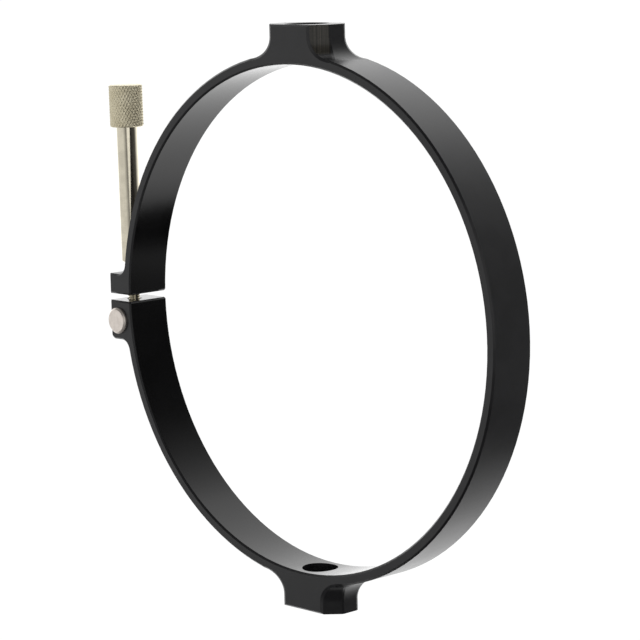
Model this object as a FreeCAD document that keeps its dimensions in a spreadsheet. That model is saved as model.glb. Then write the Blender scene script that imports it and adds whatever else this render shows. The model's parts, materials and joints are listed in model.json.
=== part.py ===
import FreeCAD, Part
import math
import os
import Sketcher

# Lens support clamp ring: a thin split ring closed round a lens by a thumb screw, with a threaded
# support boss at the top and one at the bottom.
# Frame: origin at the centre of the lens bore, Y along the lens axis with the front face towards -Y,
# Z up through the two bosses, the slit and its ears at -X. Millimetres and degrees.

os.makedirs("parts", exist_ok=True)
doc = FreeCAD.newDocument("lens_support_clamp_ring")

# driving sizes
ring_sizes = {
    "bore_diameter": 114.0,
    "wall": 2.4,
    "ring_width": 11.5,
    "edge_share": 0.4,
}
boss_sizes = {
    "boss_length": 19.0,
    "boss_height": 6.3,
    "corner_cut": 3.45,
    "corner_bevel": 0.3,
    "foot_radius": 5.3,
    "corner_radius": 5.0,
    "support_bore": 8.2,
    "support_thread": 9.5,
    "support_depth": 7.0,
    "mouth_share": 0.4,
}
ear_sizes = {
    "slit_width": 1.6,
    "slit_rise": 0.25,
    "upper_ear": 4.8,
    "lower_ear": 9.35,
    "root_radius": 2.8,
    "nose_radius": 1.2,
    "screw_hole": 3.5,
    "spot_clearance": 0.1,
}
nut_sizes = {
    "nut_diameter": 4.5,
    "nut_clearance": 0.05,
    "nut_cover": 0.6,
    "nut_depth": 4.8,
    "nut_head": 6.2,
    "nut_head_height": 0.8,
    "nut_head_bevel": 0.4,
    "nut_inset": 0.1,
}
screw_sizes = {
    "thread_diameter": 2.9,
    "thread_clearance": 0.05,
    "tip_inset": 0.6,
    "tip_bevel": 0.35,
    "shank_diameter": 5.1,
    "shank_length": 32.2,
    "shank_bevel": 0.3,
    "shank_gap": 0.12,
    "shank_lift": 2.55,
    "head_diameter": 8.0,
    "head_length": 9.95,
    "head_bevel": 0.2,
    "screw_lean": 0.7,
    "screw_forward": 0.6,
}

sheet = doc.addObject("Spreadsheet::Sheet", "Sizes")
row = 0
for group in (ring_sizes, boss_sizes, ear_sizes, nut_sizes, screw_sizes):
    for name, value in group.items():
        row = row + 1
        sheet.set("A" + str(row), name)
        sheet.set("B" + str(row), str(value))
        sheet.setAlias("B" + str(row), name)
doc.recompute()

# places worked out from the sizes, as expressions
bore_radius = "(Sizes.bore_diameter / 2)"
outer_radius = "(Sizes.bore_diameter / 2 + Sizes.wall)"
front = "(-Sizes.ring_width / 2)"
back = "(Sizes.ring_width / 2)"
boss_face = "(" + outer_radius + " + Sizes.boss_height)"
boss_side = "(Sizes.boss_length / 2)"
# the land between the support hole and the ring's faces bears the chamfers on both its sides
land = "((Sizes.ring_width - Sizes.support_thread) / 2)"
edge_break = "(Sizes.edge_share * " + land + ")"
mouth_chamfer = "(Sizes.mouth_share * " + land + ")"
slit_top = "(Sizes.slit_rise + Sizes.slit_width / 2)"
slit_bottom = "(Sizes.slit_rise - Sizes.slit_width / 2)"
ear_top = "(" + slit_top + " + Sizes.upper_ear)"
ear_bottom = "(" + slit_bottom + " - Sizes.lower_ear)"
nut_height = "(" + slit_bottom + " - Sizes.nut_depth)"
nut_bore = "(Sizes.nut_diameter + 2 * Sizes.nut_clearance)"
shank_end = "(" + ear_top + " + Sizes.shank_lift)"
# the shank stands clear of the ring's outside where it comes lowest
screw_x = "(-sqrt(" + outer_radius + "^2 - " + shank_end + "^2) - Sizes.shank_diameter / 2 - Sizes.shank_gap)"
screw_y = "(-Sizes.screw_forward)"
ear_end = "(" + screw_x + " - " + nut_bore + " / 2 - Sizes.nut_cover)"
near = 0.001


def number(expression):
    return float(sheet.evalExpression(expression))


def new_body(name):
    body = doc.addObject("PartDesign::Body", name)
    body.Label = name
    return body


def origin_feature(body, role):
    for feature in body.Origin.OriginFeatures:
        if feature.Role == role:
            return feature
    raise ValueError("no origin feature " + role)


def new_sketch(body, name, role):
    sketch = body.newObject("Sketcher::SketchObject", name)
    sketch.AttachmentSupport = (origin_feature(body, role), [""])
    sketch.MapMode = "FlatFace"
    return sketch


def dimension(sketch, constraint, expression):
    index = sketch.addConstraint(constraint)
    name = constraint.Type.lower() + "_" + str(index)
    sketch.renameConstraint(index, name)
    sketch.setExpression("Constraints." + name, expression)


def outline(sketch, corners):
    """A closed run of straight lines, each corner given by two expressions."""
    first = sketch.GeometryCount
    count = len(corners)
    points = []
    for across, up in corners:
        points.append(FreeCAD.Vector(number(across), number(up), 0))
    for i in range(count):
        sketch.addGeometry(Part.LineSegment(points[i], points[(i + 1) % count]), False)
    for i in range(count):
        following = (i + 1) % count
        sketch.addConstraint(Sketcher.Constraint("Coincident", first + i, 2, first + following, 1))
        if corners[i][0] == corners[following][0]:
            sketch.addConstraint(Sketcher.Constraint("Vertical", first + i))
        if corners[i][1] == corners[following][1]:
            sketch.addConstraint(Sketcher.Constraint("Horizontal", first + i))
    for i in range(count):
        settled = []
        if i > 0:
            settled.append(corners[i - 1])
        if i == count - 1:
            settled.append(corners[0])
        for axis, kind in ((0, "DistanceX"), (1, "DistanceY")):
            if any(other[axis] == corners[i][axis] for other in settled):
                continue
            expression = corners[i][axis]
            place = Sketcher.Constraint(kind, first + i, 1, number(expression))
            dimension(sketch, place, expression)


def circle(sketch, across, up, diameter):
    index = sketch.GeometryCount
    centre = FreeCAD.Vector(number(across), number(up), 0)
    shape = Part.Circle(centre, FreeCAD.Vector(0, 0, 1), number(diameter) / 2)
    sketch.addGeometry(shape, False)
    dimension(sketch, Sketcher.Constraint("DistanceX", index, 3, number(across)), across)
    dimension(sketch, Sketcher.Constraint("DistanceY", index, 3, number(up)), up)
    dimension(sketch, Sketcher.Constraint("Diameter", index, number(diameter)), diameter)


def pad_both_ways(body, sketch, name, length):
    pad = body.newObject("PartDesign::Pad", name)
    pad.Profile = sketch
    pad.SideType = "Symmetric"
    pad.setExpression("Length", length)
    doc.recompute()
    return pad


def cut_through(body, sketch, name):
    before = body.Shape.Volume
    pocket = body.newObject("PartDesign::Pocket", name)
    pocket.Profile = sketch
    pocket.SideType = "Symmetric"
    pocket.Type = "ThroughAll"
    doc.recompute()
    if pocket.Shape.Volume >= before:
        raise ValueError(name + " cuts nothing")
    return pocket


def turned(body, sketch, name, kind, axis):
    feature = body.newObject("PartDesign::" + kind, name)
    feature.Profile = sketch
    feature.ReferenceAxis = (sketch, [axis])
    feature.Angle = 360
    doc.recompute()
    return feature


def edges_where(shape, chosen):
    names = []
    for i, edge in enumerate(shape.Edges):
        if chosen(edge):
            names.append("Edge" + str(i + 1))
    return names


def dress(body, base, name, kind, size_name, size, edges):
    """A fillet or chamfer on named edges of the feature before it."""
    feature = body.newObject("PartDesign::" + kind, name)
    feature.Base = (base, edges)
    feature.setExpression(size_name, size)
    doc.recompute()
    return feature


def runs_along_y(edge):
    start = edge.Vertexes[0].Point
    end = edge.Vertexes[-1].Point
    straight = edge.Curve.TypeId == "Part::GeomLine"
    return straight and abs(start.x - end.x) < near and abs(start.z - end.z) < near


def along_y_at(x, z):
    """Tells whether an edge runs along Y at the given place, whatever the signs."""
    def test(edge):
        if not runs_along_y(edge):
            return False
        point = edge.Vertexes[0].Point
        return abs(abs(point.x) - abs(x)) < near and abs(abs(point.z) - abs(z)) < near
    return test


# clamp ring: one piece, with its bosses, ears and slit
ring = new_body("clamp_ring")

disc_sketch = new_sketch(ring, "disc_sketch", "XZ_Plane")
circle(disc_sketch, "0", "0", "2 * " + outer_radius)
pad_both_ways(ring, disc_sketch, "disc", "Sizes.ring_width")

boss_sketch = new_sketch(ring, "boss_sketch", "XZ_Plane")
outline(boss_sketch, [
    ("-" + boss_side, "-" + boss_face),
    (boss_side, "-" + boss_face),
    (boss_side, boss_face),
    ("-" + boss_side, boss_face),
])
pad_both_ways(ring, boss_sketch, "bosses", "Sizes.ring_width")

ear_sketch = new_sketch(ring, "ear_sketch", "XZ_Plane")
outline(ear_sketch, [
    (ear_end, ear_bottom),
    ("-" + bore_radius, ear_bottom),
    ("-" + bore_radius, ear_top),
    (ear_end, ear_top),
])
ears = pad_both_ways(ring, ear_sketch, "ears", "Sizes.ring_width")

# the feet of the bosses run into the ring's outside
boss_foot = math.sqrt(number(outer_radius) ** 2 - number(boss_side) ** 2)
foot_edges = edges_where(ears.Shape, along_y_at(number(boss_side), boss_foot))
feet = dress(ring, ears, "feet", "Fillet", "Radius", "Sizes.foot_radius", foot_edges)

root_edges = []
for level in (number(ear_top), number(ear_bottom)):
    root = math.sqrt(number(outer_radius) ** 2 - level ** 2)
    root_edges = root_edges + edges_where(feet.Shape, along_y_at(root, level))
roots = dress(ring, feet, "ear_roots", "Fillet", "Radius", "Sizes.root_radius", root_edges)

nose_edges = edges_where(roots.Shape, along_y_at(number(ear_end), number(ear_bottom)))
dress(ring, roots, "ear_nose", "Fillet", "Radius", "Sizes.nose_radius", nose_edges)

# 45 degree cuts take the corners off both bosses: an upright wall, then a quarter round whose
# centre is level with that of the side foot, then a floor a little under the ring's crown
cut_wall = "((Sizes.boss_length / 2 + Sizes.ring_width / 2 - Sizes.corner_cut) / sqrt(2))"
foot_reach = "(" + outer_radius + " + Sizes.foot_radius)"
foot_side = "(" + boss_side + " + Sizes.foot_radius)"
cut_floor = "(sqrt(" + foot_reach + "^2 - " + foot_side + "^2) - Sizes.corner_radius)"
cut_far = "(Sizes.boss_length + Sizes.ring_width)"
cut_high = "(" + boss_face + " + Sizes.corner_radius)"
corner_sketch = new_sketch(ring, "corner_sketch", "XZ_Plane")
corner_sketch.AttachmentOffset = FreeCAD.Placement(
    FreeCAD.Vector(0, 0, 0), FreeCAD.Rotation(FreeCAD.Vector(0, 1, 0), 45))
for level in (1, -1):
    first = corner_sketch.GeometryCount
    radius = number("Sizes.corner_radius")
    wall_x = number(cut_wall)
    floor_z = level * number(cut_floor)
    high_z = level * number(cut_high)
    bend_z = floor_z + level * radius
    far_x = number(cut_far)
    sign = "" if level > 0 else "-"
    line_points = [(wall_x, bend_z), (wall_x, high_z), (far_x, high_z), (far_x, floor_z),
                   (wall_x + radius, floor_z)]
    for i in range(len(line_points) - 1):
        start = FreeCAD.Vector(line_points[i][0], line_points[i][1], 0)
        end = FreeCAD.Vector(line_points[i + 1][0], line_points[i + 1][1], 0)
        corner_sketch.addGeometry(Part.LineSegment(start, end), False)
    bend = Part.Circle(FreeCAD.Vector(wall_x + radius, bend_z, 0), FreeCAD.Vector(0, 0, 1), radius)
    turn_from, turn_to = (180, 270) if level > 0 else (90, 180)
    arc = Part.ArcOfCircle(bend, math.radians(turn_from), math.radians(turn_to))
    corner_sketch.addGeometry(arc, False)
    wall, top, far, floor, round_edge = range(first, first + 5)
    wall_end, floor_end = (1, 2) if level > 0 else (2, 1)
    for a, b in ((wall, top), (top, far), (far, floor)):
        corner_sketch.addConstraint(Sketcher.Constraint("Coincident", a, 2, b, 1))
    for upright in (wall, far):
        corner_sketch.addConstraint(Sketcher.Constraint("Vertical", upright))
    for level_line in (top, floor):
        corner_sketch.addConstraint(Sketcher.Constraint("Horizontal", level_line))
    corner_sketch.addConstraint(Sketcher.Constraint("Tangent", round_edge, wall_end, wall, 1))
    corner_sketch.addConstraint(Sketcher.Constraint("Tangent", round_edge, floor_end, floor, 2))
    dimension(corner_sketch, Sketcher.Constraint("Radius", round_edge, radius), "Sizes.corner_radius")
    dimension(corner_sketch, Sketcher.Constraint("DistanceX", wall, 2, wall_x), cut_wall)
    dimension(corner_sketch, Sketcher.Constraint("DistanceY", wall, 2, high_z), sign + cut_high)
    dimension(corner_sketch, Sketcher.Constraint("DistanceX", far, 2, far_x), cut_far)
    dimension(corner_sketch, Sketcher.Constraint("DistanceY", far, 2, floor_z), sign + cut_floor)
corner = cut_through(ring, corner_sketch, "boss_corner")
corners = ring.newObject("PartDesign::PolarPattern", "boss_corners")
corners.Originals = [corner]
corners.Axis = (origin_feature(ring, "Z_Axis"), [""])
corners.Angle = 360
corners.Occurrences = 4
ring.Tip = corners
doc.recompute()

bore_sketch = new_sketch(ring, "bore_sketch", "XZ_Plane")
circle(bore_sketch, "0", "0", "Sizes.bore_diameter")
cut_through(ring, bore_sketch, "lens_bore")

# support holes: tapped from each boss face, bored on through the ring at the tap's size
hole_sketch = new_sketch(ring, "hole_sketch", "XZ_Plane")
for sign in ("", "-"):
    outline(hole_sketch, [
        ("0", sign + "(" + bore_radius + " / 2)"),
        ("(Sizes.support_bore / 2)", sign + "(" + bore_radius + " / 2)"),
        ("(Sizes.support_bore / 2)", sign + "(" + boss_face + " - Sizes.support_depth)"),
        ("(Sizes.support_thread / 2)", sign + "(" + boss_face + " - Sizes.support_depth)"),
        ("(Sizes.support_thread / 2)", sign + "(" + boss_face + " - " + mouth_chamfer + ")"),
        ("(Sizes.support_thread / 2 + " + mouth_chamfer + ")", sign + boss_face),
        ("0", sign + boss_face),
    ])
turned(ring, hole_sketch, "support_holes", "Groove", "V_Axis")

slit_sketch = new_sketch(ring, "slit_sketch", "XZ_Plane")
outline(slit_sketch, [
    ("(" + ear_end + " - Sizes.wall)", slit_bottom),
    ("(-" + bore_radius + " + Sizes.wall)", slit_bottom),
    ("(-" + bore_radius + " + Sizes.wall)", slit_top),
    ("(" + ear_end + " - Sizes.wall)", slit_top),
])
slit = cut_through(ring, slit_sketch, "slit")

# broken edges round the front and back faces, and where the slit meets the bore
half_width = number(back)


def on_face(edge):
    middle = edge.valueAt((edge.FirstParameter + edge.LastParameter) / 2)
    points = [vertex.Point for vertex in edge.Vertexes] + [middle]
    return all(abs(abs(point.y) - half_width) < near for point in points)


def at_slit_end(edge):
    reach = math.hypot(edge.Vertexes[0].Point.x, edge.Vertexes[0].Point.z)
    return runs_along_y(edge) and abs(reach - number(bore_radius)) < near


outline_edges = edges_where(slit.Shape, on_face) + edges_where(slit.Shape, at_slit_end)
broken = dress(ring, slit, "broken_edges", "Chamfer", "Size", edge_break, outline_edges)


def upright_at_side(edge):
    start = edge.Vertexes[0].Point
    end = edge.Vertexes[-1].Point
    upright = abs(start.x - end.x) < near and abs(start.y - end.y) < near
    return upright and abs(abs(start.x) - number(boss_side)) < near


bevel_edges = edges_where(broken.Shape, upright_at_side)
dress(ring, broken, "boss_bevels", "Chamfer", "Size", "Sizes.corner_bevel", bevel_edges)

screw_hole_sketch = new_sketch(ring, "screw_hole_sketch", "XY_Plane")
circle(screw_hole_sketch, screw_x, screw_y, "Sizes.screw_hole")
cut_through(ring, screw_hole_sketch, "screw_hole")

nut_hole_sketch = new_sketch(ring, "nut_hole_sketch", "XZ_Plane")
circle(nut_hole_sketch, screw_x, nut_height, nut_bore)
cut_through(ring, nut_hole_sketch, "nut_hole")

# a shallow seat for the shank's shoulder clears the root fillet above the upper ear
spot_sketch = new_sketch(ring, "spot_sketch", "XY_Plane")
spot_sketch.setExpression("AttachmentOffset.Base.z", ear_top)
circle(spot_sketch, screw_x, screw_y, "Sizes.shank_diameter + 2 * Sizes.spot_clearance")
spot = ring.newObject("PartDesign::Pocket", "spot_face")
spot.Profile = spot_sketch
spot.Reversed = True
spot.setExpression("Length", "Sizes.root_radius + Sizes.shank_lift")
doc.recompute()

# barrel nut: a headed pin lying along Y in the lower ear, cross-bored for the screw
nut = new_body("barrel_nut")
nut_sketch = new_sketch(nut, "nut_sketch", "YZ_Plane")
head_face = "(" + front + " - Sizes.nut_clearance - Sizes.nut_head_height)"
head_seat = "(" + front + " - Sizes.nut_clearance)"
outline(nut_sketch, [
    (head_face, "0"),
    (head_face, "(Sizes.nut_head / 2 - Sizes.nut_head_bevel)"),
    ("(" + head_face + " + Sizes.nut_head_bevel)", "(Sizes.nut_head / 2)"),
    (head_seat, "(Sizes.nut_head / 2)"),
    (head_seat, "(Sizes.nut_diameter / 2)"),
    ("(" + back + " - Sizes.nut_inset)", "(Sizes.nut_diameter / 2)"),
    ("(" + back + " - Sizes.nut_inset)", "0"),
])
turned(nut, nut_sketch, "nut_pin", "Revolution", "H_Axis")
nut_cross_sketch = new_sketch(nut, "nut_cross_sketch", "XY_Plane")
circle(nut_cross_sketch, "0", screw_y, "Sizes.thread_diameter + 2 * Sizes.thread_clearance")
cut_through(nut, nut_cross_sketch, "nut_cross_hole")

# thumb screw: knurled head, plain shank and thread, drawn from the nut's axis upwards
screw = new_body("thumb_screw")
screw_sketch = new_sketch(screw, "screw_sketch", "XZ_Plane")
tip = "(" + ear_bottom + " + Sizes.tip_inset - " + nut_height + ")"
shank_low = "(" + shank_end + " - " + nut_height + ")"
shank_high = "(" + shank_low + " + Sizes.shank_length)"
head_high = "(" + shank_high + " + Sizes.head_length)"
outline(screw_sketch, [
    ("0", tip),
    ("(Sizes.thread_diameter / 2 - Sizes.tip_bevel)", tip),
    ("(Sizes.thread_diameter / 2)", "(" + tip + " + Sizes.tip_bevel)"),
    ("(Sizes.thread_diameter / 2)", shank_low),
    ("(Sizes.shank_diameter / 2 - Sizes.shank_bevel)", shank_low),
    ("(Sizes.shank_diameter / 2)", "(" + shank_low + " + Sizes.shank_bevel)"),
    ("(Sizes.shank_diameter / 2)", shank_high),
    ("(Sizes.head_diameter / 2 - Sizes.head_bevel)", shank_high),
    ("(Sizes.head_diameter / 2)", "(" + shank_high + " + Sizes.head_bevel)"),
    ("(Sizes.head_diameter / 2)", "(" + head_high + " - Sizes.head_bevel)"),
    ("(Sizes.head_diameter / 2 - Sizes.head_bevel)", head_high),
    ("0", head_high),
])
turned(screw, screw_sketch, "screw_turning", "Revolution", "V_Axis")

# the nut and the screw hang on the nut's axis, leaning outwards a little in the clearance hole
for body in (nut, screw):
    body.setExpression("Placement.Base.x", screw_x)
    body.setExpression("Placement.Base.z", nut_height)
    body.setExpression("Placement.Rotation.Axis.x", "0")
    body.setExpression("Placement.Rotation.Axis.y", "1")
    body.setExpression("Placement.Rotation.Axis.z", "0")
    body.setExpression("Placement.Rotation.Angle", "-Sizes.screw_lean")
screw.setExpression("Placement.Base.y", screw_y)

doc.recompute()
for item in doc.Objects:
    if "Invalid" in item.State or "Error" in item.State:
        raise ValueError(item.Label + " failed: " + str(item.State))
subparts = (ring, nut, screw)
for body in subparts:
    if body.Shape.isNull() or not body.Shape.isValid():
        raise ValueError(body.Label + " has no valid shape")
for body in subparts:
    body.Shape.exportStep("parts/" + body.Label + ".step")
    box = body.Shape.BoundBox
    print(body.Label, "solids", len(body.Shape.Solids), "volume", round(body.Shape.Volume, 2))
    print("  x", round(box.XMin, 3), round(box.XMax, 3), "y", round(box.YMin, 3), round(box.YMax, 3),
          "z", round(box.ZMin, 3), round(box.ZMax, 3))
print("screw at x", round(number(screw_x), 3), "ear end", round(number(ear_end), 3),
      "nut height", round(number(nut_height), 3))
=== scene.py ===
import json
import math

import bpy
import numpy as np
from mathutils import Matrix


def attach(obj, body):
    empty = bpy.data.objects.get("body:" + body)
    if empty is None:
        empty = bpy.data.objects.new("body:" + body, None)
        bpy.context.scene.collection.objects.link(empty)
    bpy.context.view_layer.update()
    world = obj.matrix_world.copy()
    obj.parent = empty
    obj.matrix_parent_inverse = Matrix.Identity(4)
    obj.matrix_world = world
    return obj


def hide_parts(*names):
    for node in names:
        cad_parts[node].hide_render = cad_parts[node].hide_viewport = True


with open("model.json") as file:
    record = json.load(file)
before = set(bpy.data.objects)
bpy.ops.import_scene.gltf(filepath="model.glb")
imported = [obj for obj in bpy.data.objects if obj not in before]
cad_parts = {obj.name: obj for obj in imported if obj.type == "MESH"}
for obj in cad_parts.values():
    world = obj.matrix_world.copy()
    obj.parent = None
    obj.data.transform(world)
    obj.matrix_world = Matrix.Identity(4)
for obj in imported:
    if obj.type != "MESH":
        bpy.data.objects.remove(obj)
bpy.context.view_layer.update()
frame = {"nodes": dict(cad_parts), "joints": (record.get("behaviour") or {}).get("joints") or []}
print("frame loaded")


# shader values: arithmetic on a Wire adds the math node for it
class Wire:
    def __init__(self, shader, socket):
        self.shader = shader
        self.socket = socket

    def combine(self, operation, first, second):
        return self.shader.node("Math", {"operation": operation}, {0: first, 1: second})

    def __add__(self, other):
        return self.combine("ADD", self, other)

    def __radd__(self, other):
        return self.combine("ADD", other, self)

    def __sub__(self, other):
        return self.combine("SUBTRACT", self, other)

    def __rsub__(self, other):
        return self.combine("SUBTRACT", other, self)

    def __mul__(self, other):
        return self.combine("MULTIPLY", self, other)

    def __rmul__(self, other):
        return self.combine("MULTIPLY", other, self)

    def __truediv__(self, other):
        return self.combine("DIVIDE", self, other)

    def __rtruediv__(self, other):
        return self.combine("DIVIDE", other, self)

    def __pow__(self, other):
        return self.combine("POWER", self, other)

    def __rpow__(self, other):
        return self.combine("POWER", other, self)

    def atLeast(self, other):
        return self.combine("MAXIMUM", self, other)

    def atMost(self, other):
        return self.combine("MINIMUM", self, other)

    def size(self):
        return self.shader.node("Math", {"operation": "ABSOLUTE"}, {0: self})


class Shader:
    def __init__(self, tree):
        self.tree = tree
        tree.nodes.clear()

    # one node: its type, its settings, what goes into its sockets, and which output comes back
    def node(self, kind, settings=None, sockets=None, output=0):
        made = self.tree.nodes.new("ShaderNode" + kind)
        for name, value in (settings or {}).items():
            setattr(made, name, value)
        for key, value in (sockets or {}).items():
            if isinstance(value, Wire):
                self.tree.links.new(value.socket, made.inputs[key])
            else:
                made.inputs[key].default_value = value
        return Wire(self, made.outputs[output]) if len(made.outputs) else None

    # smooth step from 0 at low to 1 at high
    def ramp(self, value, low, high):
        return self.node("MapRange", {"interpolation_type": "SMOOTHSTEP"},
                         {"Value": value, "From Min": low, "From Max": high})

    def mixColour(self, factor, first, second):
        return self.node("Mix", {"data_type": "RGBA"}, {0: factor, 6: first, 7: second}, 2)

    def noise(self, place, scale, detail):
        return self.node("TexNoise", {}, {"Vector": place, "Scale": scale, "Detail": detail})

    def objectPlace(self):
        return self.node("TexCoord", {}, {}, "Object")

    # splits a vector into its three numbers
    def parts(self, vector):
        split = self.node("SeparateXYZ", {}, {0: vector}).socket.node
        return [Wire(self, out) for out in split.outputs]

    # how far a direction or place reaches along an axis
    def along(self, vector, axis):
        return self.node("VectorMath", {"operation": "DOT_PRODUCT"}, {0: vector, 1: axis}, "Value")

    # noise along one value, as streaks across it
    def streaks(self, value, scale, detail):
        return self.node("TexNoise", {"noise_dimensions": "1D"},
                         {"W": value, "Scale": scale, "Detail": detail})

    def bump(self, height, distance):
        return self.node("Bump", {}, {"Distance": distance, "Height": height})

    def surface(self, shaderOutput):
        self.node("OutputMaterial", {}, {"Surface": shaderOutput})


def grey(value):
    return (value, value, value, 1.0)


millimetre = 0.001
wholeTurn = 2.0 * math.pi


# black anodised aluminium: fine blasted grain and faint cloudiness, the lens bore finished finer than
# the outside and its colour darkened as painted shade, the top boss's corner cuts worn and lightened
# with a painted sheen, and the slit's faces smooth. Places are in metres: cutOut is how far out the
# cuts lie as
# |x| + |y|, cutFar where they end as |x| - |y|
anodised = {
    "dark": (0.0108, 0.0107, 0.0120, 1.0),
    "light": (0.0143, 0.0141, 0.0158, 1.0),
    "boreShare": 0.2,
    "boreRadius": 0.057,
    "softEdge": 0.0001,
    "boreRoughness": 0.16,
    "outerRoughness": 0.33,
    "roughnessSpread": 0.06,
    "indexOfRefraction": 1.38,
    "outerCoat": 0.2,
    "coatRoughness": 0.33,
    "cloudScale": 160.0,
    "cloudDetail": 3.0,
    "cloudRange": (0.35, 0.65),
    "grainScale": 9000.0,
    "grainDetail": 1.0,
    "grainHeight": 0.0000035,
    "cutOut": 0.0118,
    "cutEdge": 0.00002,
    "cutFrom": 0.0594,
    "cutFront": 0.0054,
    "cutFar": 0.0072,
    # colours of the top cuts: wear, and a painted sheen that makes them much lighter than the rest
    "cutWearSheenDark": (0.014, 0.013, 0.011, 1.0),
    "cutWearSheenLight": (0.085, 0.078, 0.064, 1.0),
    "streakScale": 1800.0,
    "streakDetail": 3.0,
    "streakRange": (0.2, 0.85),
    "slitRise": 0.00025,
    "slitHalf": 0.00082,
    "slitRoughness": 0.12,
}


def anodisedMaterial(name):
    material = bpy.data.materials.new(name)
    material.use_nodes = True
    shader = Shader(material.node_tree)
    place = shader.objectPlace()
    cloud = shader.noise(place, anodised["cloudScale"], anodised["cloudDetail"])
    grain = shader.noise(place, anodised["grainScale"], anodised["grainDetail"])
    x, y, z = shader.parts(place)
    reach = (x * x + z * z) ** 0.5
    outside = shader.ramp(reach, anodised["boreRadius"], anodised["boreRadius"] + anodised["softEdge"])
    clouded = shader.ramp(cloud, *anodised["cloudRange"])
    plain = shader.mixColour(clouded, anodised["dark"], anodised["light"])
    # painted shade: inside the bore the colour is darkened to a fifth of the outside's
    boreShaded = shader.mixColour(anodised["boreShare"], grey(0.0), plain)
    colour = shader.mixColour(outside, boreShaded, plain)
    # a warm grey in upright streaks, on the flat and the foot of each cut: wear, with a painted sheen
    # that lightens it far above the anodising
    out, across, edge = x.size() + y.size(), x.size() - y.size(), anodised["cutEdge"]
    cut = shader.ramp(out, anodised["cutOut"] - edge, anodised["cutOut"])
    cut = cut * (1.0 - shader.ramp(y.size(), anodised["cutFront"], anodised["cutFront"] + edge))
    cut = cut * (1.0 - shader.ramp(across, anodised["cutFar"], anodised["cutFar"] + edge))
    cut = cut * shader.ramp(z, anodised["cutFrom"], anodised["cutFrom"] + edge)
    streaks = shader.streaks(across, anodised["streakScale"], anodised["streakDetail"])
    streaked = shader.ramp(streaks, *anodised["streakRange"])
    wornAndSheen = shader.mixColour(streaked, anodised["cutWearSheenDark"], anodised["cutWearSheenLight"])
    colour = shader.mixColour(cut, colour, wornAndSheen)
    # the two faces of the slit
    slit = (z - anodised["slitRise"]).size()
    slit = 1.0 - shader.ramp(slit, anodised["slitHalf"], anodised["slitHalf"] + anodised["softEdge"])
    slit = slit * outside * shader.ramp(0.0 - x, 0.0, anodised["boreRadius"])
    rougher = anodised["outerRoughness"] - anodised["boreRoughness"]
    uneven = (cloud - 0.5) * anodised["roughnessSpread"]
    roughness = anodised["boreRoughness"] + outside * rougher + uneven
    roughness = roughness - slit * (anodised["outerRoughness"] - anodised["slitRoughness"])
    shader.surface(shader.node("BsdfPrincipled", {}, {
        "Base Color": colour,
        "Roughness": roughness,
        "IOR": anodised["indexOfRefraction"],
        "Coat Weight": outside * (1.0 - slit) * anodised["outerCoat"],
        "Coat Roughness": anodised["coatRoughness"],
        "Normal": shader.bump(grain, anodised["grainHeight"]),
    }))
    return material


# turned metal: fine rings round the turning axis, and one end finished differently from the rest
def turnedMaterial(name, look):
    material = bpy.data.materials.new(name)
    material.use_nodes = True
    shader = Shader(material.node_tree)
    place = shader.objectPlace()
    along = shader.along(place, look["axis"])
    marks = shader.streaks(along, look["markScale"], look["markDetail"])
    cloud = shader.noise(place, look["cloudScale"], look["cloudDetail"])
    end = shader.ramp(along, look["endFrom"], look["endFrom"] + look["endEdge"])
    mottle = shader.ramp(cloud, *look["cloudRange"])
    body = shader.mixColour(mottle, look["dark"], look["light"])
    colour = shader.mixColour(end, body, shader.mixColour(mottle, look["endDark"], look["endLight"]))
    rougher = look["endRoughness"] - look["roughness"]
    roughness = look["roughness"] + end * rougher + (marks - 0.5) * look["roughnessSpread"]
    shader.surface(shader.node("BsdfPrincipled", {}, {
        "Base Color": colour,
        "Metallic": 1.0 - end * (1.0 - look["endMetal"]),
        "Roughness": roughness,
        "Normal": shader.bump(marks, look["markHeight"]),
    }))
    return material


def dress(obj, material):
    obj.data.materials.clear()
    obj.data.materials.append(material)


def newPiece(name, points, faces, body, material):
    mesh = bpy.data.meshes.new(name)
    mesh.from_pydata(points, [], faces)
    mesh.validate()
    mesh.shade_smooth()
    obj = bpy.data.objects.new(name, mesh)
    bpy.context.scene.collection.objects.link(obj)
    mesh.materials.append(material)
    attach(obj, body)
    return obj


# faces between the rows of a grid that is closed round its columns, first row to last row
def tubeFaces(start, rows, columns):
    row, column = np.meshgrid(np.arange(rows - 1), np.arange(columns), indexing="ij")
    following = (column + 1) % columns
    corners = [row * columns + column, row * columns + following,
               (row + 1) * columns + following, (row + 1) * columns + column]
    return start + np.stack(corners, axis=-1).reshape(-1, 4)


# triangles from every column of one row to a single point
def fanFaces(rowStart, columns, pole, outwards):
    column = np.arange(columns)
    following = (column + 1) % columns
    first, second = (following, column) if outwards else (column, following)
    return np.stack([rowStart + first, rowStart + second, np.full(columns, pole)], axis=-1)


# 0 in a groove's middle and 1 half way between two, as a straight-sided wave of the phase
def sawWave(phase):
    return 1.0 - np.abs(2.0 * (phase - np.floor(phase)) - 1.0)


# mm along the screw's axis from the nut's axis, as in the solid it stands for
screwShape = {
    "tip": -3.95,
    "threadRadius": 1.45,
    "threadRoot": 1.2,
    "threadPitch": 0.5,
    "threadStepsPerTurn": 8,
    "threadSharpness": 1.3,
    "tipBevel": 0.35,
    "shankLow": 13.75,
    "shankRadius": 2.55,
    "shankBevel": 0.3,
    "shankBevelMiddle": (0.5, 0.35),
    "shankHigh": 45.95,
    "headRadius": 4.0,
    "headHigh": 55.9,
    "headBevel": 0.2,
    "headTopRings": (0.55, 0.2),
    "knurlStarts": 32,
    "knurlDepth": 0.2,
    "knurlLean": 30.0,
    "knurlFlat": 0.15,
    "knurlRows": 88,
    "columns": 76,
    "headColumnsPerColumn": 4,
    "cornerRow": 0.06,
}
joints = {joint["name"]: joint for joint in frame["joints"]}


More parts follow.
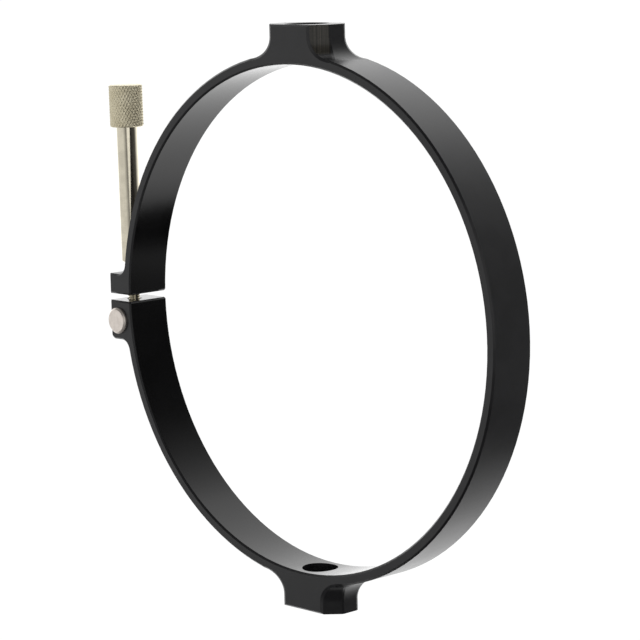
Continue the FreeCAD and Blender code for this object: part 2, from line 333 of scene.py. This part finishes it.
# points of a turned surface: the height along the screw's axis, and the radius across it by the
# cosine and sine of the turn, both in mm
def aboutScrew(angle, radius, height):
    axis = np.array(joints["screw_turn"]["axis"], float)
    axis = axis / np.linalg.norm(axis)
    side = np.cross([0.0, 1.0, 0.0], axis)
    side = side / np.linalg.norm(side)
    front = np.cross(axis, side)
    origin = np.array(joints["screw_turn"]["pos_m"], float)
    spread = np.cos(angle)[..., None] * side + np.sin(angle)[..., None] * front
    offset = radius[..., None] * spread + height[..., None] * axis
    return origin + millimetre * offset


# level rows of a turned surface, one for each pair of radius and height
def levelRows(turn, edges):
    radius, height = np.array(edges, float).T
    angle, radius = np.meshgrid(turn, radius)
    return angle, radius, np.meshgrid(turn, height)[1]


# the screw: radius as a function of the turn and the height. The thread is a V wave that climbs one
# pitch a turn; the knurl is the deeper of two V waves that lean opposite ways
def makeThumbScrew(material):
    size = screwShape
    columns = size["columns"]
    turn = np.linspace(0.0, wholeTurn, columns, endpoint=False)
    threadTurns = (size["shankLow"] - size["tip"]) / size["threadPitch"]
    threadRows = int(threadTurns * size["threadStepsPerTurn"])
    threadHeight = np.linspace(size["tip"], size["shankLow"], threadRows)
    angle, height = np.meshgrid(turn, threadHeight)
    wave = sawWave(height / size["threadPitch"] - angle / wholeTurn)
    crest = np.clip(size["threadSharpness"] * wave, 0.0, 1.0)
    threadDepth = size["threadRadius"] - size["threadRoot"]
    radius = size["threadRoot"] + threadDepth * crest
    tipLimit = size["threadRadius"] - size["tipBevel"] + (height - size["tip"])
    radius = np.minimum(radius, tipLimit)
    thread = aboutScrew(angle, radius, height)
    # rows close to each corner keep the long faces between them flat in their shading
    close, shank, shankBevel = size["cornerRow"], size["shankRadius"], size["shankBevel"]
    shankLow, shankHigh = size["shankLow"], size["shankHigh"]
    middleIn, middleUp = size["shankBevelMiddle"]
    shankEdges = [
        (size["threadRadius"] + close, shankLow),
        (shank - shankBevel - close, shankLow),
        (shank - shankBevel, shankLow),
        (shank - middleIn * shankBevel, shankLow + middleUp * shankBevel),
        (shank, shankLow + shankBevel),
        (shank, shankLow + shankBevel + close),
        (shank, 0.5 * (shankLow + shankHigh)),
        (shank, shankHigh - close),
        (shank, shankHigh),
    ]
    stemPoints = np.concatenate([thread, aboutScrew(*levelRows(turn, shankEdges))]).reshape(-1, 3)
    stemRows = len(stemPoints) // columns

    headColumns = columns * size["headColumnsPerColumn"]
    headTurn = np.linspace(0.0, wholeTurn, headColumns, endpoint=False)
    low, high, bevel = size["shankHigh"], size["headHigh"], size["headBevel"]
    wide = size["headRadius"]
    lean = math.tan(math.radians(size["knurlLean"])) / wide
    headHeight = np.linspace(low + bevel, high - bevel, size["knurlRows"])
    angle, height = np.meshgrid(headTurn, headHeight)
    starts = size["knurlStarts"] / wholeTurn
    oneWay = sawWave(starts * (angle + lean * (height - low)))
    otherWay = sawWave(starts * (angle - lean * (height - low)))
    raised = np.clip(np.minimum(oneWay, otherWay) / (1.0 - size["knurlFlat"]), 0.0, 1.0)
    radius = wide - size["knurlDepth"] * (1.0 - raised)
    edgeAway = np.minimum(height - low, high - height)
    radius = np.minimum(radius, wide - size["knurlDepth"] + edgeAway - bevel * 0.5)
    rim = wide - size["knurlDepth"] - bevel
    under = [(shank + close, low), (rim - close, low), (rim, low)]
    top = [(rim, high), (rim - close, high)] + [(wide * share, high) for share in size["headTopRings"]]
    bands = [levelRows(headTurn, under), (angle, radius, height), levelRows(headTurn, top)]
    headPoints = np.concatenate([aboutScrew(*band) for band in bands]).reshape(-1, 3)
    headRows = len(headPoints) // headColumns

    headStart = len(stemPoints)
    tipPole = headStart + len(headPoints)
    topPole = tipPole + 1
    zero = np.zeros(1)
    poles = np.concatenate([aboutScrew(zero, zero, np.array([size["tip"]])),
                            aboutScrew(zero, zero, np.array([size["headHigh"]]))])
    # the stem's last row meets the head's first, which has more columns
    share = size["headColumnsPerColumn"]
    lastStem = (stemRows - 1) * columns
    column = np.arange(headColumns)
    inner = lastStem + column // share
    outerNow = headStart + column
    outerNext = headStart + (column + 1) % headColumns
    skirt = np.stack([inner, outerNext, outerNow], axis=-1)
    stemColumn = np.arange(columns)
    stemNext = (stemColumn + 1) % columns
    bridge = np.stack([lastStem + stemColumn, lastStem + stemNext,
                       headStart + (share * (stemColumn + 1)) % headColumns], axis=-1)
    faces = tubeFaces(0, stemRows, columns).tolist()
    faces += tubeFaces(headStart, headRows, headColumns).tolist()
    faces += skirt.tolist()
    faces += bridge.tolist()
    faces += fanFaces(0, columns, tipPole, True).tolist()
    faces += fanFaces(headStart + (headRows - 1) * headColumns, headColumns, topPole, False).tolist()
    points = np.concatenate([stemPoints, headPoints, poles])
    screw = newPiece("thumb_screw_turned", points.tolist(), faces, "screw", material)
    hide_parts("thumb_screw")


# 3/8 inch support threads: a V wave that climbs one pitch a turn stands on the bore's wall
supportThread = {
    "wallRadius": 4.75,
    "crestRadius": 4.12,
    "outerRadius": 4.8,
    "pitch": 1.5875,
    "from": 58.8,
    "to": 65.2,
    "columns": 96,
    "stepsPerTurn": 12,
    "crestSharpness": 1.15,
    "runOut": 0.5,
}


def makeSupportThread(name, upwards, material):
    size = supportThread
    columns = size["columns"]
    turn = np.linspace(0.0, wholeTurn, columns, endpoint=False)
    rows = int((size["to"] - size["from"]) / size["pitch"] * size["stepsPerTurn"])
    along = np.linspace(size["from"], size["to"], rows)
    angle, height = np.meshgrid(turn, along)
    wave = sawWave(height / size["pitch"] - angle / wholeTurn)
    crest = np.clip(size["crestSharpness"] * wave, 0.0, 1.0)
    fade = np.clip(np.minimum(height - size["from"], size["to"] - height) / size["runOut"], 0.0, 1.0)
    radius = size["wallRadius"] - (size["wallRadius"] - size["crestRadius"]) * crest * fade
    # the outer wall is hidden in the boss and closes the shape
    wall = [(size["outerRadius"], size["to"]), (size["outerRadius"], size["from"])]
    bands = zip((angle, radius, height), levelRows(turn, wall))
    angle, radius, height = (np.concatenate(band) for band in bands)
    # upside down is a half turn about X, which keeps the thread right-handed
    way = 1.0 if upwards else -1.0
    points = np.stack([radius * np.cos(angle), way * radius * np.sin(angle), way * height], axis=-1)
    points = millimetre * points.reshape(-1, 3)
    total = rows + len(wall)
    faces = tubeFaces(0, total, columns)
    column = np.arange(columns)
    following = (column + 1) % columns
    last = (total - 1) * columns
    closing = np.stack([last + column, last + following, following, column], axis=-1)
    faces = np.concatenate([faces, closing])[:, ::-1]
    newPiece(name, points.tolist(), faces.tolist(), "ring", material)


# satin steel of the barrel nut, whose end is the proud one, and the nickelled screw, whose end is its
# head. endFrom is where the end starts along the axis, in metres
nutLook = {
    "axis": (0.0, -1.0, 0.0),
    "endFrom": 0.0055,
    "endEdge": 0.0001,
    "endDark": (0.78, 0.71, 0.65, 1.0),
    "endLight": (0.90, 0.82, 0.75, 1.0),
    "endRoughness": 0.34,
    "endMetal": 0.9,
    "dark": (0.62, 0.58, 0.55, 1.0),
    "light": (0.76, 0.72, 0.68, 1.0),
    "roughness": 0.28,
    "roughnessSpread": 0.1,
    "markScale": 9000.0,
    "markDetail": 3.0,
    "markHeight": 0.000001,
    "cloudScale": 600.0,
    "cloudDetail": 2.0,
    "cloudRange": (0.3, 0.7),
}
screwLook = {
    "axis": (-0.0122170, 0.0, 0.9999254),
    "endFrom": 0.04125,
    "endEdge": 0.0001,
    "endDark": (0.74, 0.67, 0.48, 1.0),
    "endLight": (0.84, 0.77, 0.57, 1.0),
    "endRoughness": 0.4,
    "endMetal": 0.7,
    "dark": (0.67, 0.62, 0.50, 1.0),
    "light": (0.77, 0.715, 0.575, 1.0),
    "roughness": 0.14,
    "roughnessSpread": 0.12,
    "markScale": 7000.0,
    "markDetail": 3.0,
    "markHeight": 0.0000008,
    "cloudScale": 500.0,
    "cloudDetail": 2.0,
    "cloudRange": (0.3, 0.7),
}

ringMaterial = anodisedMaterial("black_anodised_finish")
dress(frame["nodes"]["clamp_ring"], ringMaterial)
dress(frame["nodes"]["barrel_nut"], turnedMaterial("barrel_nut_satin", nutLook))
print("materials made")

makeThumbScrew(turnedMaterial("thumb_screw_nickel", screwLook))
makeSupportThread("support_thread_top", True, ringMaterial)
makeSupportThread("support_thread_bottom", False, ringMaterial)
print("screw and threads made")

# studio: a pale floor well under the part, and a soft room. Behind the part the room brightens evenly
# from right to left, but for one dark patch low down; in front it is bright near the horizon on the
# left; a soft panel stands behind the camera. Directions are sines and cosines of the turn from +Y
# towards +X
studio = {
    "floorHeight": -0.14,
    "floorHalf": 40.0,
    "floorColour": (0.92, 0.92, 0.92, 1.0),
    "floorWhite": 1.19,
    "floorShare": 0.75,
    "middle": 1.77,
    "tilt": 0.12,
    "darkAt": 0.775,
    "darkest": 0.08,
    "brightest": 1.65,
    "frontShare": 0.48,
    "frontFrom": -0.5,
    "frontTo": 0.27,
    "bandShare": 0.2,
    "bandFrom": 0.4,
    "bandTo": 0.7,
    "panel": 1.05,
    "panelTurn": 116.0,
    "panelHalf": 20.0,
    "panelSoft": 7.0,
    "panelLow": -0.17,
    "panelHigh": 0.6,
    "panelFade": 0.1,
    "shadeTowards": (0.400, 0.767, -0.502),
    "shadeOuter": 12.0,
    "shadeInner": 7.0,
    "leastLevel": 0.000001,
}


# how bright the room is in a direction
def roomLevel(shader, direction):
    x, y, z = shader.parts(direction)
    level = (x * x + y * y).atLeast(studio["leastLevel"]) ** 0.5
    sine, cosine = x / level, y / level
    across = sine + z * studio["tilt"]
    room = ((1.0 - across / studio["darkAt"]) * studio["middle"]).atLeast(studio["darkest"])
    room = room.atMost(studio["brightest"])
    front = shader.ramp(0.0 - cosine, studio["frontFrom"], studio["frontTo"])
    room = room * (1.0 - front * (1.0 - studio["frontShare"]))
    steep = shader.ramp(z.size(), studio["bandFrom"], studio["bandTo"])
    room = room * (1.0 - front * steep * (1.0 - studio["bandShare"]))
    toShade = shader.along(direction, studio["shadeTowards"])
    outer, inner = (math.cos(math.radians(studio[key])) for key in ("shadeOuter", "shadeInner"))
    room = room * (1.0 - shader.ramp(toShade, outer, inner))
    turn = math.radians(studio["panelTurn"])
    near = sine * math.sin(turn) + cosine * math.cos(turn)
    edge, fade = studio["panelSoft"], studio["panelFade"]
    widest = math.cos(math.radians(studio["panelHalf"] + edge))
    narrowest = math.cos(math.radians(studio["panelHalf"] - edge))
    panel = shader.ramp(near, widest, narrowest)
    panel = panel * shader.ramp(z, studio["panelLow"] - fade, studio["panelLow"] + fade)
    panel = panel * (1.0 - shader.ramp(z, studio["panelHigh"] - fade, studio["panelHigh"] + fade))
    return room + panel * studio["panel"]


def makeFloor():
    half, level = studio["floorHalf"], studio["floorHeight"]
    mesh = bpy.data.meshes.new("studio_floor")
    corners = [(-half, -half, level), (half, -half, level), (half, half, level), (-half, half, level)]
    mesh.from_pydata(corners, [], [(0, 1, 2, 3)])
    floor = bpy.data.objects.new("studio_floor", mesh)
    bpy.context.scene.collection.objects.link(floor)
    material = bpy.data.materials.new("studio_floor_pale")
    material.use_nodes = True
    shader = Shader(material.node_tree)
    camera = shader.node("LightPath", {}, {}, "Is Camera Ray")
    mirrored = shader.node("LightPath", {}, {}, "Is Glossy Ray")
    mirrored = mirrored.atLeast(shader.node("LightPath", {}, {}, "Is Transmission Ray"))
    direction = shader.node("VectorMath", {"operation": "NORMALIZE"}, {0: shader.objectPlace()})
    strength = camera * studio["floorWhite"] + (1.0 - camera) * roomLevel(shader, direction)
    plain = shader.node("BsdfDiffuse", {}, {"Color": studio["floorColour"]})
    white = shader.node("Emission", {}, {"Color": grey(1.0), "Strength": strength})
    share = (camera * studio["floorShare"]).atLeast(mirrored)
    shader.surface(shader.node("MixShader", {}, {0: share, 1: plain, 2: white}))
    mesh.materials.append(material)


def makeWorld():
    world = bpy.data.worlds.new("studio_world")
    bpy.context.scene.world = world
    world.use_nodes = True
    shader = Shader(world.node_tree)
    direction = shader.node("TexCoord", {}, {}, "Generated")
    camera = shader.node("LightPath", {}, {}, "Is Camera Ray")
    lit = shader.node("Background", {}, {"Color": grey(1.0), "Strength": roomLevel(shader, direction)})
    white = shader.node("Background", {}, {"Color": grey(1.0), "Strength": 1.0})
    mixed = shader.node("MixShader", {}, {0: camera, 1: lit, 2: white})
    shader.node("OutputWorld", {}, {"Surface": mixed})


# the photograph's camera: turn round the part, height above it and roll in degrees, lengths in mm, and
# what it sees from nearest to furthest in metres
view = {
    "azimuth": 46.085,
    "elevation": 8.678,
    "roll": -1.373,
    "across": -1.296,
    "up": 0.205,
    "distance": 591.044,
    "lens": 148.826,
    "sensor": 36.0,
    "nearest": 0.01,
    "furthest": 50.0,
}


def makeCamera():
    azimuth, elevation, roll = (math.radians(view[key]) for key in ("azimuth", "elevation", "roll"))
    back = np.array([math.sin(azimuth) * math.cos(elevation), -math.cos(azimuth) * math.cos(elevation),
                     math.sin(elevation)])
    level = np.cross([0.0, 0.0, 1.0], back)
    level = level / np.linalg.norm(level)
    over = np.cross(back, level)
    right = math.cos(roll) * level + math.sin(roll) * over
    above = -math.sin(roll) * level + math.cos(roll) * over
    turned = np.column_stack([right, above, back])
    place = turned @ np.array([-view["across"], -view["up"], view["distance"]]) * millimetre
    data = bpy.data.cameras.new("photo_camera")
    data.sensor_width = view["sensor"]
    data.lens = view["lens"]
    data.clip_start = view["nearest"]
    data.clip_end = view["furthest"]
    camera = bpy.data.objects.new("photo_camera", data)
    bpy.context.scene.collection.objects.link(camera)
    camera.matrix_world = Matrix(turned.tolist()).to_4x4()
    camera.location = place
    bpy.context.scene.camera = camera


makeFloor()
makeWorld()
makeCamera()
bpy.context.scene.view_settings.view_transform = "Standard"
print("studio made")
